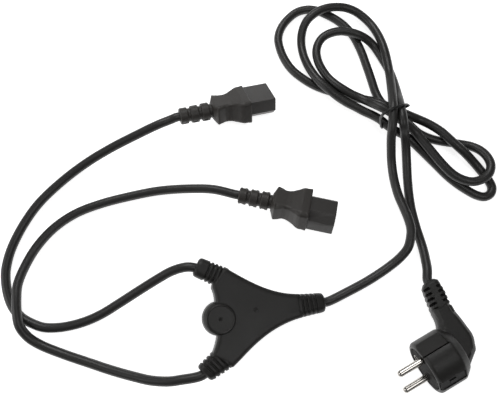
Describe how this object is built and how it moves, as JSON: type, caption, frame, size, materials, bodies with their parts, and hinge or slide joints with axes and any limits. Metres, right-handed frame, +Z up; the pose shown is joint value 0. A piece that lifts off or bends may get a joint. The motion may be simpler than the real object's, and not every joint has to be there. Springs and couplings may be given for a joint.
{
  "type": "power cord splitter",
  "caption": "Black power cord splitter lying flat: right-angled earthed mains plug, looped and tied supply cord, flat moulded Y junction and branch cords to slotted appliance connectors.",
  "frame": {"origin": "middle of the bounding box of the mouldings (plug, junction and both connectors, without the cords), on the floor that they lie on", "axes": "+Z up from the floor, +X to the right and +Y away from the viewer of the picture; the mouldings spread furthest along Y"},
  "size_m": [0.3715, 0.3073, 0.0385],
  "materials": {
    "moulded_black": "fine matt texture, moulded PVC",
    "moulded_charcoal": "fine matt texture, moulded PVC",
    "insert_black": "satin, hard moulded insert",
    "cord_sheath": "satin round PVC sheath",
    "nickel": "bright nickel plate",
    "brass": "plain",
    "tie_black": "smooth strip"
  },
  "bodies": {
    "root": {"plug_body": "moulded_black", "plug_face_insert": "insert_black", "plug_pin_line": "nickel", "plug_pin_neutral": "nickel", "plug_earth_strip_upper": "nickel", "plug_earth_strip_lower": "nickel", "plug_earth_socket": "nickel", "junction_body": "moulded_black", "junction_splice_line": "brass", "junction_splice_earth": "brass", "junction_splice_neutral": "brass", "connector_a_body": "moulded_charcoal", "connector_a_insert": "insert_black", "connector_a_contact_line": "brass", "connector_a_contact_neutral": "brass", "connector_a_contact_earth": "brass", "connector_b_body": "moulded_charcoal", "connector_b_insert": "insert_black", "connector_b_contact_line": "brass", "connector_b_contact_neutral": "brass", "connector_b_contact_earth": "brass", "main_cord": "cord_sheath", "branch_cord_a": "cord_sheath", "branch_cord_b": "cord_sheath", "cord_tie": "tie_black"}
  },
  "joints": []
}
